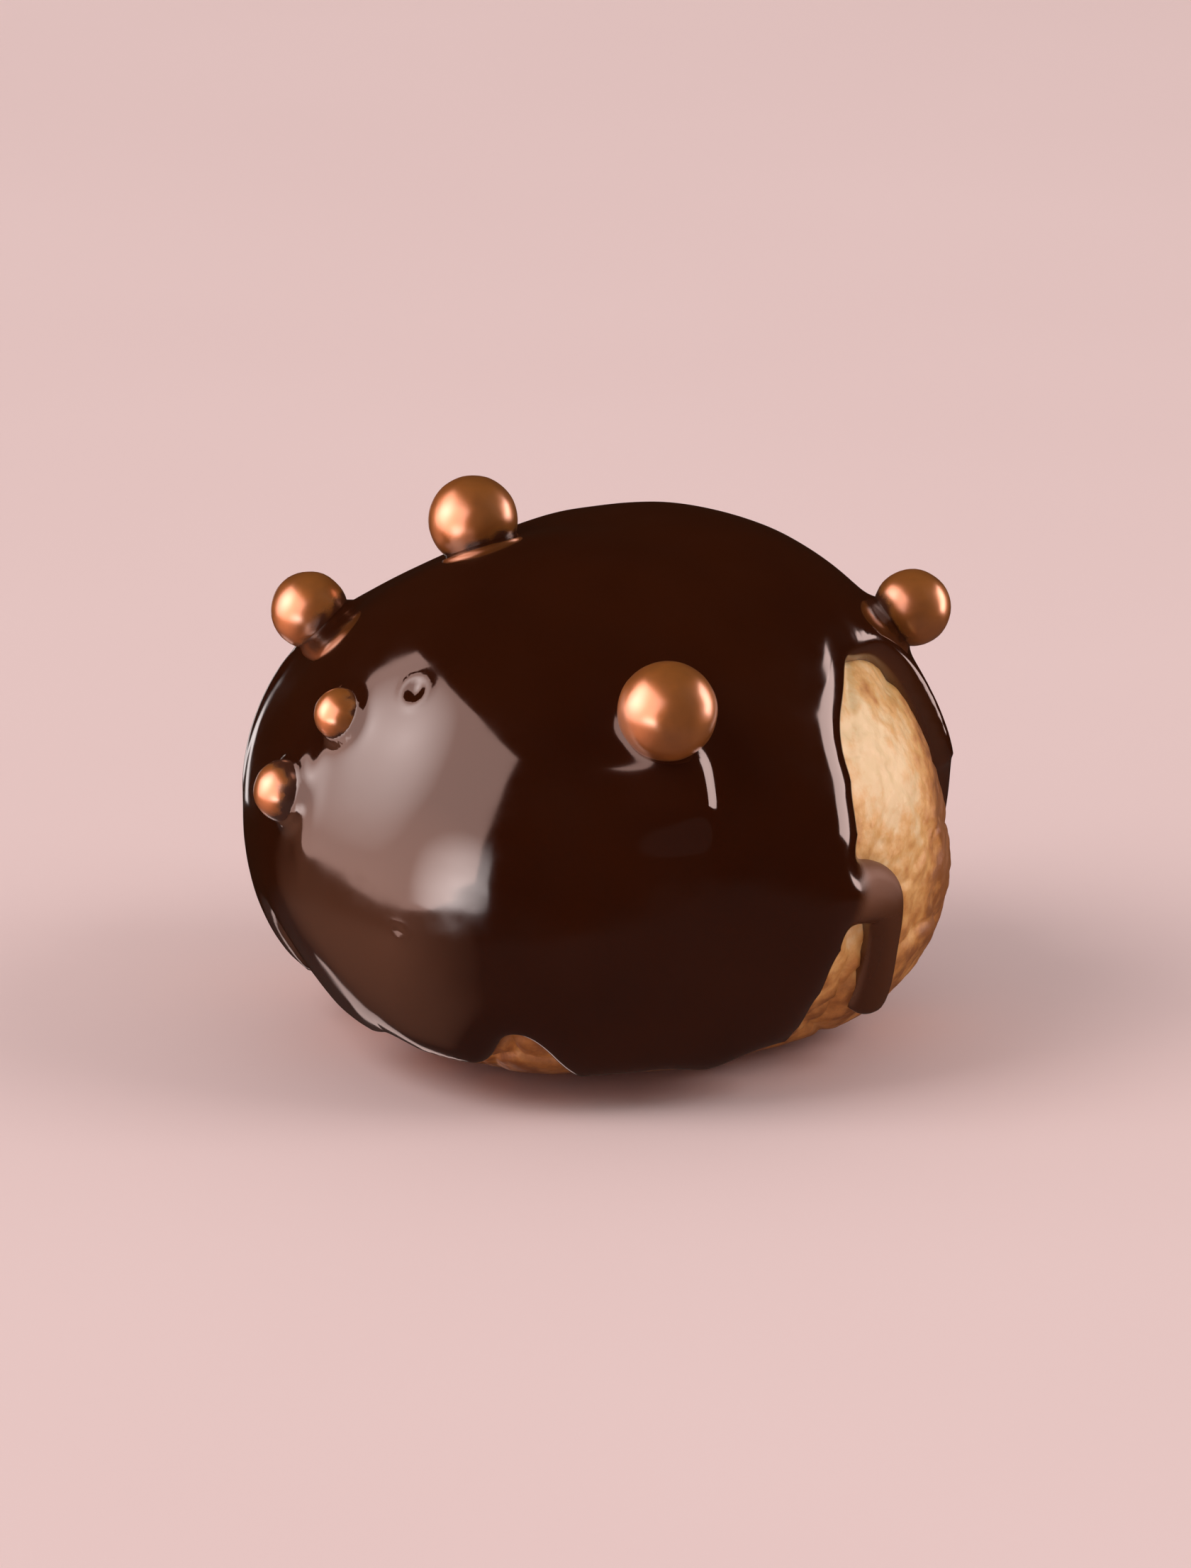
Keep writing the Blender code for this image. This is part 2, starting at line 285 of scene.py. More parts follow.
def bun_reach(directions):
    """How far the bun's smooth form lies from its heart along unit directions."""
    level = np.hypot(directions[:, 0], directions[:, 1])
    z = directions[:, 2]
    height = np.where(z > 0, CROWN_HEIGHT, KEEL_DEPTH)
    reach = (
        (level / BUN_RADIUS) ** BUN_SQUARENESS + (np.abs(z) / height) ** BUN_SQUARENESS
    ) ** (-1 / BUN_SQUARENESS)
    reach += LUMP_HEIGHT * perlin(directions * LUMPS_ROUND + LUMP_SEED)
    for azimuth, polar, spread, height in SWELLS:
        away = angle_from(directions, azimuth, polar)
        reach += height * np.exp(-((away / math.radians(spread)) ** 2))
    flat = (HEART_HEIGHT + BASE_SINK) / np.maximum(-z, BASE_SLOPE)
    based = (reach**-BASE_SOFTNESS + flat**-BASE_SOFTNESS) ** (-1 / BASE_SOFTNESS)
    return np.where(z < -BASE_SLOPE, based, reach)


def on_bun(directions, outward=0.0):
    points = HEART + directions * (bun_reach(directions) + outward)[:, None]
    points[:, 2] = np.maximum(points[:, 2], 0.0)
    return points


def sharp_edge(azimuth):
    edge = np.full_like(azimuth, DRIP_POLAR)
    arch = np.zeros_like(azimuth)
    for height, waves, phase in DRIP_WAVES:
        edge += height * np.sin(waves * azimuth + phase)
    for middle, left, right, rise, bluntness, uprightness in ARCHES:
        away = np.degrees((azimuth - math.radians(middle) + math.pi) % math.tau - math.pi)
        away = np.minimum(np.where(away < 0, -away / left, away / right), 1)
        arch = np.maximum(arch, rise * (1 - away**bluntness) ** (1 / uprightness))
    return edge - arch


def coat_edge(azimuth):
    """The polar angle at which the coat ends, in radians."""
    step = math.radians(EDGE_SOFTNESS)
    return np.radians(sum(share * sharp_edge(azimuth + i * step) for i, share in SOFTENING))


def rounded_path(points, rounds=4):
    """The points with their corners cut off over and over, which leaves a smooth curve."""
    points = np.array(points)
    for _ in range(rounds):
        before, after = points[:-1], points[1:]
        cut = np.stack((0.75 * before + 0.25 * after, 0.25 * before + 0.75 * after), axis=1)
        points = np.concatenate((points[:1], cut.reshape(-1, points.shape[1]), points[-1:]))
    return points


def edge_line():
    """Directions evenly spaced along the coat's edge, and a tree to find the nearest."""
    azimuths = np.linspace(0, math.tau, 40001)
    line = directions_of(azimuths, coat_edge(azimuths))
    steps = np.linalg.norm(np.diff(line, axis=0), axis=1)
    travelled = np.concatenate(((0,), np.cumsum(steps)))
    azimuths = np.interp(np.linspace(0, travelled[-1], EDGE_SAMPLES + 1)[:-1], travelled, azimuths)
    line = directions_of(azimuths, coat_edge(azimuths))
    tree = KDTree(len(line))
    for i, point in enumerate(line.tolist()):
        tree.insert(point, i)
    tree.balance()
    return line, tree


EDGE_LINE, EDGE_TREE = edge_line()
RIVULET_PATH = rounded_path(RIVULET)
RIVULET_LINE = directions_of(np.radians(RIVULET_PATH[:, 0]), np.radians(RIVULET_PATH[:, 1]))


def edge_distances(directions):
    """How far inside the chocolate's edge each direction is, in metres, negative outside it,

    and then the same for the coat without its rivulet.
    """
    found = np.array([EDGE_TREE.find(point)[1] for point in directions.tolist()])
    middle = EDGE_LINE[found]
    nearest = np.linalg.norm(directions - middle, axis=1)
    for other in (found - 1, (found + 1) % len(EDGE_LINE)):
        along = EDGE_LINE[other] - middle
        share = ((directions - middle) * along).sum(axis=1) / (along**2).sum(axis=1)
        foot = middle + np.clip(share, 0, 1)[:, None] * along
        nearest = np.minimum(nearest, np.linalg.norm(directions - foot, axis=1))
    azimuth, polar = angles_of(directions)
    coat = np.where(polar < coat_edge(azimuth), nearest, -nearest) * GRID_SCALE
    rivulet = np.full(len(directions), -1.0)
    for point, half_width in zip(RIVULET_LINE, RIVULET_PATH[:, 2]):
        away = length_from(directions, point)
        rivulet = np.maximum(rivulet, half_width - away)
    share = np.clip(0.5 + 0.5 * (coat - rivulet) / JOIN_SOFTNESS, 0, 1)
    blend = JOIN_SOFTNESS * share * (1 - share)
    return rivulet + (coat - rivulet) * share + blend, coat


def inside_edge(directions):
    return edge_distances(directions)[0]


def tangents(directions):
    """Two unit tangents at each direction."""
    first = unit(np.cross(directions, (0.31, 0.17, 0.94)))
    return first, np.cross(directions, first)


def slope_of(directions, values):
    """The gradient of inside_edge, as tangent vectors of length about 1."""
    step = SLOPE_STEP / GRID_SCALE
    first, second = tangents(directions)
    along = (inside_edge(unit(directions + first * step)) - values) / (step * GRID_SCALE)
    across = (inside_edge(unit(directions + second * step)) - values) / (step * GRID_SCALE)
    return first * along[:, None] + second * across[:, None]


def move_to(directions, wanted, rounds=2):
    """The directions moved along the slope until they are this far inside the edge."""
    for _ in range(rounds):
        values = inside_edge(directions)
        slope = slope_of(directions, values)
        size = np.maximum((slope**2).sum(axis=1), LEAST_SLOPE)
        shift = ((wanted - values) / size)[:, None] * slope / GRID_SCALE
        directions = unit(directions + shift)
    return directions


# --- the chocolate's height above the bun ------------------------------------------------------


def on_main_coat(directions):
    """From 0 on the rivulet, which is thinner and duller, to 1 on the coat."""
    return smoothstep(*RIVULET_BLEND, edge_distances(directions)[1])


def coat_height(directions, inside):
    """The chocolate's height above the bun's smooth form, down to 0 at its edge."""
    inside = np.maximum(inside, 0)
    on_coat = on_main_coat(directions)
    full = COAT_RISE + BEAD_THICKNESS * np.exp(-inside / BEAD_WIDTH)
    full = RIVULET_RISE + on_coat * (full - RIVULET_RISE)
    azimuth = np.degrees(angles_of(directions)[0])
    far_side = smoothstep(*FAR_LIP_STARTS, azimuth) * (1 - smoothstep(*FAR_LIP_ENDS, azimuth))
    lip_width = COAT_LIP + far_side * (FAR_LIP - COAT_LIP)
    lip_width = RIVULET_LIP + on_coat * (lip_width - RIVULET_LIP)
    lip = np.clip(1 - inside / lip_width, 0, 1)
    return full * np.sqrt(1 - lip**2)


def smoothed(values, faces, fixed):
    """The vertices' values evened out along the faces' edges, except at the fixed vertices."""
    edges = {(min(a, b), max(a, b)) for face in faces for a, b in zip(face, face[1:] + face[:1])}
    first, second = np.array(sorted(edges)).T
    count = np.bincount(first, minlength=len(values)) + np.bincount(second, minlength=len(values))
    for _ in range(SMOOTHINGS):
        total = np.bincount(first, values[second], len(values))
        total += np.bincount(second, values[first], len(values))
        evened = 0.5 * values + 0.5 * total / count
        evened[fixed] = values[fixed]
        values = evened
    return values


def coat_relief(directions, inside):
    """Low relief to add: waves, the chocolate drawn up round each pearl, runs and dimples."""
    inside = np.maximum(inside, 0)
    height = np.zeros(len(directions))
    calm = smoothstep(*CALM_LIP, inside)
    lower = 1 - smoothstep(*LOWER_SIDE, directions[:, 2])
    for rise, waves, share, seed in SWELL_WAVES:
        strength = share + (1 - share) * lower
        height += calm * strength * rise * perlin(directions * waves + seed)
    for azimuth, polar, diameter, sink, skirt, _ in PEARLS:
        away = length_from(directions, direction_at(azimuth, polar))
        radius = diameter / 2
        contact = math.sqrt(radius**2 - (radius - sink) ** 2)
        height += skirt * np.exp(-np.maximum(away - contact, 0) / SKIRT_WIDTH)
    azimuth_of, polar_of = np.degrees(angles_of(directions))
    level = np.sin(np.radians(polar_of)) * GRID_SCALE
    for azimuth, top, bottom, left, right, rise in RUNS:
        wander = RUN_WANDER * np.sin(polar_of / RUN_BENDS + azimuth)
        away = np.radians((azimuth_of - azimuth - wander + 180) % 360 - 180) * level
        head = smoothstep(top - RUN_HEAD[0], top + RUN_HEAD[1], polar_of)
        ends = head * (1 - smoothstep(bottom - RUN_TAIL, bottom, polar_of))
        height += calm * rise * ends * np.exp(-((away / np.where(away < 0, left, right)) ** 2))
    rim_height, rim_place, rim_width = DIMPLE_RIM
    for azimuth, polar, radius, depth in DIMPLES:
        away = length_from(directions, direction_at(azimuth, polar))
        height -= depth * np.exp(-((away / radius) ** 2))
        rim = ((away - rim_place * radius) / (rim_width * radius)) ** 2
        height += rim_height * depth * np.exp(-rim)
    return height


# --- meshes ------------------------------------------------------------------------------------


def cube_sphere(cells):
    """The vertices, as directions, and the quads of a divided cube that is blown up."""
    bm = bmesh.new()
    bmesh.ops.create_cube(bm, size=2.0)
    bmesh.ops.subdivide_edges(bm, edges=bm.edges[:], cuts=cells - 1, use_grid_fill=True)
    bm.verts.index_update()
    corners = np.array([vertex.co[:] for vertex in bm.verts])
    quads = [[vertex.index for vertex in face.verts] for face in bm.faces]
    bm.free()
    return unit(np.tan(corners * math.pi / 4)), quads


def mesh_object(name, points, faces, material):
    mesh = bpy.data.meshes.new(name)
    mesh.from_pydata(points.tolist(), [], faces)
    mesh.validate()
    mesh.shade_smooth()
    mesh.materials.append(material)
    obj = bpy.data.objects.new(name, mesh)
    bpy.context.scene.collection.objects.link(obj)
    return obj


def clip_to_coat(directions, quads, start):
    """The part of a grid at least this far inside the edge, with its rim exactly there."""
    over = inside_edge(directions) - start
    cell = GRID_SCALE * math.pi / 2 / COAT_CELLS
    near = np.abs(over) < SNAP * cell
    directions = directions.copy()
    directions[near] = move_to(directions[near], start)
    over[near] = 0.0
    keep = [quad for quad in quads if all(over[i] >= 0 for i in quad)]
    crossing = [
        quad for quad in quads if min(over[i] for i in quad) < 0 < max(over[i] for i in quad)
    ]
    added = {}
    points = []

    def cut(a, b):
        key = (min(a, b), max(a, b))
        if key not in added:
            a, b = key
            share = over[a] / (over[a] - over[b])
            added[key] = len(directions) + len(points)
            points.append(directions[a] + share * (directions[b] - directions[a]))
        return added[key]

    for quad in crossing:
        face = []
        for a, b in zip(quad, quad[1:] + quad[:1]):
            if over[a] >= 0:
                face.append(a)
            if over[a] * over[b] < 0:
                face.append(cut(a, b))
        if len(face) > 2:
            keep.append(face)
    new = move_to(unit(np.array(points)), start)
    directions = np.concatenate((directions, new))
    used = sorted({i for face in keep for i in face})
    place = {old: i for i, old in enumerate(used)}
    return directions[used], [[place[i] for i in face] for face in keep]


def rims_of(faces):
    """The loops of vertices round the outside, each in the order its faces run."""
    edges = set()
    for face in faces:
        edges.update(zip(face, face[1:] + face[:1]))
    onward = {a: b for a, b in edges if (b, a) not in edges}
    loops = []
    while onward:
        start, here = onward.popitem()
        loop = [start]
        while here != start:
            loop.append(here)
            here = onward.pop(here)
        loops.append(loop)
    return loops


def make_coat(material):
    grid, quads = cube_sphere(COAT_CELLS)
    directions, faces = clip_to_coat(grid, quads, LIP_START)
    loop = max(rims_of(faces), key=len)
    inside = inside_edge(directions)
    heights = smoothed(coat_height(directions, inside), faces, loop)
    heights += coat_relief(directions, inside)
    rows = [(inside * MM, None) for inside in LIP_ROWS]
    rows += [(inside * MM, height * MM) for inside, height in FOOT_ROWS]
    below, rim = loop, directions[loop]
    for inside, height in rows:
        rim = unit(2 * rim + np.roll(rim, 1, axis=0) + np.roll(rim, -1, axis=0))
        rim = move_to(rim, inside, 3)
        row = list(range(len(directions), len(directions) + len(rim)))
        directions = np.concatenate((directions, rim))
        if height is None:
            depths = np.full(len(rim), inside)
            rise = coat_height(rim, depths) + min(1, inside / LIP_START) * coat_relief(rim, depths)
        else:
            rise = np.full(len(rim), height)
        heights = np.concatenate((heights, rise))
        for i in range(len(row)):
            j = (i + 1) % len(row)
            faces.append([below[j], below[i], row[i], row[j]])
        below = row
    # The hidden inside is a coarse lining across the last row.
    lining = grid[:: max(1, len(grid) // LINING_POINTS)]
    lining = lining[inside_edge(lining) > LINING_START]
    sheet = np.concatenate((directions[below], lining))
    azimuth, polar = angles_of(sheet)
    flat = np.stack((polar * np.cos(azimuth), polar * np.sin(azimuth)), axis=1)
    boundary = list(range(len(below)))
    corners, _, triangles, origins, _, _ = geometry.delaunay_2d_cdt(
        [Vector(point) for point in flat.tolist()], [], [boundary], 1, 1e-9
    )
    numbers = []
    for origin in origins:
        first = origin[0]
        if first < len(below):
            numbers.append(below[first])
        else:
            numbers.append(len(directions) + first - len(below))
    directions = np.concatenate((directions, lining))
    heights = np.concatenate((heights, np.full(len(lining), FOOT_ROWS[-1][1] * MM)))
    faces += [[numbers[i] for i in triangle] for triangle in triangles]
    coat = mesh_object("chocolate", on_bun(directions, heights), faces, material)
    thin = coat.data.attributes.new("thin", "FLOAT", "POINT")
    shallow = FOOT_SHADE + (1 - FOOT_SHADE) * smoothstep(*FOOT_LEVELS, directions[:, 2])
    thin.data.foreach_set("value", (shallow * (1 - on_main_coat(directions))).astype(np.float32))
    bm = bmesh.new()
    bm.from_mesh(coat.data)
    loose = [vertex for vertex in bm.verts if not vertex.link_faces]
    bmesh.ops.delete(bm, geom=loose, context="VERTS")
    bmesh.ops.recalc_face_normals(bm, faces=bm.faces[:])
    bm.to_mesh(coat.data)
    bm.free()
    coat.data.shade_smooth()
    return coat


def crag_depths(directions, reach):
    """How deep the crags are, along the borders of a warped pattern of cells."""
    depths = []
    for direction in directions.tolist():
        scaled = Vector(direction) * CRAGS_ROUND
        # noise_vector isn't used, because its offsets come from the clock.
        warp = Vector([noise.noise(scaled + Vector(seed)) for seed in WARP_SEEDS]) * CRAG_WARP
        nearest, second = noise.voronoi(scaled + warp + Vector(CRAG_SEED))[0][:2]
        depths.append(max(0.0, 1 - (second - nearest) / CRAG_WIDTH) ** 2)
    height = HEART_HEIGHT + directions[:, 2] * reach
    return CRAG_DEPTH * np.array(depths) * np.clip(height / CRAG_FADE_HEIGHT, 0, 1)


def make_bun(material):
    directions, quads = cube_sphere(BUN_CELLS)
    shows = (inside_edge(directions) < BUN_OVERLAP) & (directions[:, 2] > UNDERSIDE)
    bm = bmesh.new()
    vertices = [bm.verts.new(point) for point in directions.tolist()]
    for quad in quads:
        bm.faces.new([vertices[i] for i in quad])
    shown = [face for face, quad in zip(bm.faces, quads) if all(shows[i] for i in quad)]
    # A dict drops the repeats and, unlike a set, keeps the same order in every run.
    edges = dict.fromkeys(edge for face in shown for edge in face.edges)
    bmesh.ops.subdivide_edges(bm, edges=list(edges), cuts=BUN_CUTS, use_grid_fill=True)
    bm.verts.index_update()
    directions = unit(np.array([vertex.co[:] for vertex in bm.verts]))
    faces = [[vertex.index for vertex in face.verts] for face in bm.faces]
    bm.free()
    reach = bun_reach(directions)
    crags = crag_depths(directions, reach)
    bumps = [perlin(directions * waves + seed) for _, waves, seed in CRUST_RELIEF]
    relief = sum(height * bump for (height, _, _), bump in zip(CRUST_RELIEF, bumps))
    blisters, pimples, _ = bumps
    fade = np.clip((HEART_HEIGHT + directions[:, 2] * reach) / CRAG_FADE_HEIGHT, 0, 1)
    azimuth, polar, spread, share = SMOOTH_CRUST
    face_away = np.degrees(angle_from(directions, azimuth, polar))
    crags *= CRAG_SHARE * (1 - share * np.exp(-((face_away / spread) ** 2)))
    outward = -crags + relief * fade - CRUST_SINK
    for azimuth, polar, spread, height in PUFFS:
        away = np.degrees(angle_from(directions, azimuth, polar))
        outward += height * np.exp(-((away / spread) ** 2))
    bun = mesh_object("choux", on_bun(directions, outward), faces, material)
    brown = bun.data.attributes.new("brown", "FLOAT", "POINT")
    ridge = 1 - np.clip(crags / (0.45 * CRAG_DEPTH), 0, 1)
    patches = perlin(directions * PATCHES_ROUND + PATCH_SEED) + 0.5 * blisters
    tone = BROWN_START + BROWN_PATCHES * patches + BROWN_RIDGES * ridge + BROWN_PIMPLES * pimples
    # Spots of browning, among them painted shade towards the far side and a painted sheen in the
    # middle of the bare patch.
    for azimuth, polar, radius, share in BLOTCHES_AND_PAINTED_LIGHT:
        away = np.degrees(angle_from(directions, azimuth, polar))
        tone += share * np.exp(-((away / radius) ** 2))
    tone += BROWN_BELOW * smoothstep(*BELOW_LEVELS, -directions[:, 2])
    tone += BROWN_AROUND * (1 - np.exp(-((face_away / AROUND_SPREAD) ** 2)))
    brown.data.foreach_set("value", tone.astype(np.float32))
    return bun


def make_pearls(material):
    bm = bmesh.new()
    film = bm.verts.layers.float.new("film")
    for number, (azimuth, polar, diameter, sink, _, wetted) in enumerate(PEARLS):
        direction = direction_at(azimuth, polar)[None, :]
        centre = on_bun(direction, np.array([COAT_RISE + diameter / 2 - sink]))[0]
        subdivisions = PEARL_SUBDIVISIONS if diameter > SMALL_PEARL else PEARL_SUBDIVISIONS - 1
        made = bmesh.ops.create_icosphere(bm, subdivisions=subdivisions, radius=diameter / 2)
        for vertex in made["verts"]:
            facing = vertex.co.normalized()
            bump = 0.0
            for height, waves, (step, *rest) in PEARL_BUMPS:
                bump += height * noise.noise(facing * waves + Vector((number * step, *rest)))
            ragged = FILM_RAGGEDNESS * noise.noise(facing * 2.6 + Vector((number * 2.1, 8.0, 3.0)))
            climb = wetted + ragged - facing.dot(Vector(direction[0]))
            vertex[film] = min(1.0, max(0.0, 0.5 + climb / FILM_FADE))
            vertex.co += facing * bump
            vertex.co += Vector(centre)
    mesh = bpy.data.meshes.new("sugar_pearls")
    bm.to_mesh(mesh)
    bm.free()
    mesh.shade_smooth()
    mesh.materials.append(material)
    pearls = bpy.data.objects.new("sugar_pearls", mesh)
    bpy.context.scene.collection.objects.link(pearls)
    return pearls


# --- materials ---------------------------------------------------------------------------------


def add_node(tree, kind, inputs=None, **settings):
    """A new shader node. An input that is given a socket is linked to it, and others are set."""
    node = tree.nodes.new(kind)
    for key, value in settings.items():
        setattr(node, key, value)
    for key, value in (inputs or {}).items():
        if isinstance(value, bpy.types.NodeSocket):
            tree.links.new(value, node.inputs[key])
        else:
            node.inputs[key].default_value = value
    return node


class Nodes:
    """A material and a short way to add and link its nodes."""

    def __init__(self, name):
        self.material = bpy.data.materials.new(name)
        self.material.use_nodes = True
        self.tree = self.material.node_tree
        self.shader = self.tree.nodes["Principled BSDF"]

    def add(self, kind, inputs=None, **settings):
        return add_node(self.tree, kind, inputs, **settings)

    def link(self, output, name):
        self.tree.links.new(output, self.shader.inputs[name])

    def noise(self, scale, detail=3.0, roughness=0.5):
        place = self.add("ShaderNodeTexCoord").outputs["Object"]
        inputs = {"Vector": place, "Scale": scale, "Detail": detail, "Roughness": roughness}
        return self.add("ShaderNodeTexNoise", inputs).outputs["Fac"]

    def ramp(self, value, stops):
        node = self.add("ShaderNodeValToRGB", {"Fac": value})
        elements = node.color_ramp.elements
        while len(elements) < len(stops):
            elements.new(0.5)
        for element, (position, colour) in zip(elements, stops):
            element.position = position
            element.color = (*colour, 1)
        return node.outputs["Color"]

    def spread(self, value, low, high, bottom=0.3, top=0.7):
        inputs = {"Value": value, "From Min": bottom, "From Max": top}
        inputs |= {"To Min": low, "To Max": high}
        return self.add("ShaderNodeMapRange", inputs).outputs["Result"]

    def bump(self, height, strength, distance, normal=None):
        inputs = {"Height": height, "Strength": strength, "Distance": distance}
        if normal:
            inputs["Normal"] = normal
        return self.add("ShaderNodeBump", inputs).outputs["Normal"]


def chocolate_material():
    nodes = Nodes("chocolate")
    colour = nodes.ramp(
        nodes.noise(90, 2), ((0.3, (0.025, 0.0048, 0.0012)), (0.7, (0.033, 0.0068, 0.0018)))
    )
    thin = nodes.add("ShaderNodeAttribute", attribute_name="thin").outputs["Fac"]
    inputs = {"Factor": thin, "A": colour, "B": (0.19, 0.062, 0.018, 1)}
    mixed = nodes.add("ShaderNodeMix", inputs, data_type="RGBA")
    nodes.link(mixed.outputs["Result"], "Base Color")
    rough = nodes.spread(nodes.noise(420, 3), 0.06, 0.12)
    inputs = {0: thin, 1: 0.48, 2: rough}
    dulled = nodes.add("ShaderNodeMath", inputs, operation="MULTIPLY_ADD")
    nodes.link(dulled.outputs[0], "Roughness")
    nodes.link(nodes.bump(nodes.noise(1100, 3), 0.05, 0.02 * MM), "Normal")
    nodes.shader.inputs["IOR"].default_value = 1.9
    return nodes.material


def choux_material():
    nodes = Nodes("choux")
    # The brown attribute also holds painted shade and a painted sheen from some of the spots.
    brown = nodes.add("ShaderNodeAttribute", attribute_name="brown").outputs["Fac"]
    mottle = nodes.noise(700, 5, 0.65)
    inputs = {0: brown, 1: nodes.spread(mottle, -0.22, 0.22)}
    tone = nodes.add("ShaderNodeMath", inputs, operation="ADD").outputs[0]
    colour = nodes.ramp(
        tone,
        (
            (0.05, (0.92, 0.68, 0.37)),
            (0.38, (0.82, 0.46, 0.15)),
            (0.66, (0.60, 0.255, 0.060)),
            (0.95, (0.32, 0.110, 0.024)),
        ),
    )
    nodes.link(colour, "Base Color")
    nodes.link(nodes.spread(nodes.noise(900, 3), 0.36, 0.52), "Roughness")
    coarse = nodes.bump(nodes.noise(1300, 5, 0.6), 0.35, 0.15 * MM)
    nodes.link(nodes.bump(nodes.noise(4200, 3, 0.6), 0.25, 0.05 * MM, coarse), "Normal")
    nodes.shader.inputs["IOR"].default_value = 1.7
    nodes.shader.inputs["Subsurface Weight"].default_value = 0.12
    nodes.shader.inputs["Subsurface Radius"].default_value = (1.0, 0.5, 0.25)
    nodes.shader.inputs["Subsurface Scale"].default_value = 1.2 * MM
    return nodes.material


def pearl_material():
    nodes = Nodes("sugar_pearl")
    colour = nodes.ramp(
        nodes.noise(500, 3), ((0.3, (0.64, 0.205, 0.026)), (0.7, (0.84, 0.280, 0.039)))
    )
    film = nodes.add("ShaderNodeAttribute", attribute_name="film").outputs["Fac"]
    inputs = {"Factor": film, "A": colour, "B": (0.075, 0.018, 0.005, 1)}
    mixed = nodes.add("ShaderNodeMix", inputs, data_type="RGBA")
    nodes.link(mixed.outputs["Result"], "Base Color")
    inputs = {0: film, 1: -0.7, 2: 0.7}
    metallic = nodes.add("ShaderNodeMath", inputs, operation="MULTIPLY_ADD")
    nodes.link(metallic.outputs[0], "Metallic")
    rough = nodes.spread(nodes.noise(1500, 3), 0.30, 0.40)
    inputs = {0: film, 1: -0.12, 2: rough}
    wetter = nodes.add("ShaderNodeMath", inputs, operation="MULTIPLY_ADD")
    nodes.link(wetter.outputs[0], "Roughness")
    nodes.link(nodes.bump(nodes.noise(2600, 3), 0.12, 0.03 * MM), "Normal")
    nodes.shader.inputs["Coat Weight"].default_value = 1.0
    nodes.shader.inputs["Coat IOR"].default_value = 2.8
    nodes.shader.inputs["Coat Roughness"].default_value = 0.27
    return nodes.material


def floor_material():
    nodes = Nodes("floor")
    colour = nodes.ramp(
        nodes.noise(12, 2), ((0.3, (0.795, 0.600, 0.595)), (0.7, (0.815, 0.620, 0.615)))
    )
    nodes.link(colour, "Base Color")
    nodes.shader.inputs["Roughness"].default_value = 0.85
    return nodes.material


# --- the studio --------------------------------------------------------------------------------

CAMERA_ELEVATION = math.radians(16)
CAMERA_DISTANCE = 0.75
FRAME_WIDTH = 77 * MM
AIM = Vector((0.4 * MM, 0.0, 16.5 * MM))


def camera_axes(left, up):
    """Right, up and outward for a panel this many degrees left of the camera and above it."""
    left, up = math.radians(left), math.radians(up)
    tilt = Matrix.Rotation(math.pi / 2 - CAMERA_ELEVATION, 3, "X")
    return tilt @ Matrix.Rotation(-left, 3, "Y") @ Matrix.Rotation(-up, 3, "X")


def add_light(name, axes, distance, size, radiance, colour):
    light = bpy.data.lights.new(name, "AREA")
    light.shape = "RECTANGLE"
    light.size, light.size_y = size
    light.energy = radiance * math.pi * size[0] * size[1]
    light.color = colour
    obj = bpy.data.objects.new(name, light)
    place = Matrix.Translation(AIM + axes.col[2] * distance)
    obj.matrix_world = place @ axes.to_4x4()
    obj.visible_camera = False
    bpy.context.scene.collection.objects.link(obj)
    return obj


def add_panel(name, left, up, roll, size, radiance, colour, distance=0.55):
    """A soft panel that only shows in reflections."""
    axes = camera_axes(left, up) @ Matrix.Rotation(math.radians(-roll), 3, "Z")
    panel = add_light(name, axes, distance, size, radiance, colour)
    panel.visible_diffuse = False
    return panel


def fade_from(panel, middle, reach):
    """Lets a panel fade from a point on it, where its sides are at -1 and 1."""
    panel.data.use_nodes = True
    tree = panel.data.node_tree
    place = tree.nodes.new("ShaderNodeNewGeometry").outputs["Parametric"]
    for operation, amount in (
        ("MULTIPLY", (2, 2, 0)),
        ("SUBTRACT", (1 + middle[0], 1 + middle[1], 0)),
        ("DIVIDE", (*reach, 1)),
    ):
        step = add_node(tree, "ShaderNodeVectorMath", {0: place, 1: amount}, operation=operation)
        place = step.outputs["Vector"]
    inputs = {"Vector": place}
    gradient = add_node(tree, "ShaderNodeTexGradient", inputs, gradient_type="SPHERICAL")
    tree.links.new(gradient.outputs["Fac"], tree.nodes["Emission"].inputs["Strength"])


def add_lamp(name, direction, size, radiance):
    """A large soft light that doesn't show in reflections."""
    axes = Vector(direction).to_track_quat("Z", "Y").to_matrix()
    lamp = add_light(name, axes, 2.2, (size, size), radiance, (1.0, 0.94, 0.90))
    lamp.visible_glossy = False


def add_world():
    """Pale pink, but dim in reflections, because other chocolate surrounds this in the photo."""
    world = bpy.data.worlds.new("studio")
    world.use_nodes = True
    tree = world.node_tree

    def add(kind, inputs=None, **settings):
        return add_node(tree, kind, inputs, **settings).outputs

    direction = add("ShaderNodeTexCoord")["Generated"]
    height = add("ShaderNodeSeparateXYZ", {0: direction})["Z"]
    inputs = {"Value": height, "From Min": -0.46, "From Max": -0.36}
    above = add("ShaderNodeMapRange", inputs, interpolation_type="SMOOTHSTEP")["Result"]

    def background(colour, strength=1.0):
        return add("ShaderNodeBackground", {"Color": (*colour, 1), "Strength": strength})[0]

    low, high = background((0.058, 0.034, 0.028)), background((0.02, 0.007, 0.0035))
    mirrored = add("ShaderNodeMixShader", {0: above, 1: low, 2: high})[0]
    lighting = background((1.0, 0.93, 0.91), 0.52)
    behind = background((0.80, 0.545, 0.515))
    rays = add("ShaderNodeLightPath")
    unseen = add("ShaderNodeMixShader", {0: rays["Is Glossy Ray"], 1: lighting, 2: mirrored})[0]
    world_shader = add("ShaderNodeMixShader", {0: rays["Is Camera Ray"], 1: unseen, 2: behind})[0]
    tree.links.new(world_shader, tree.nodes["World Output"].inputs["Surface"])
    bpy.context.scene.world = world


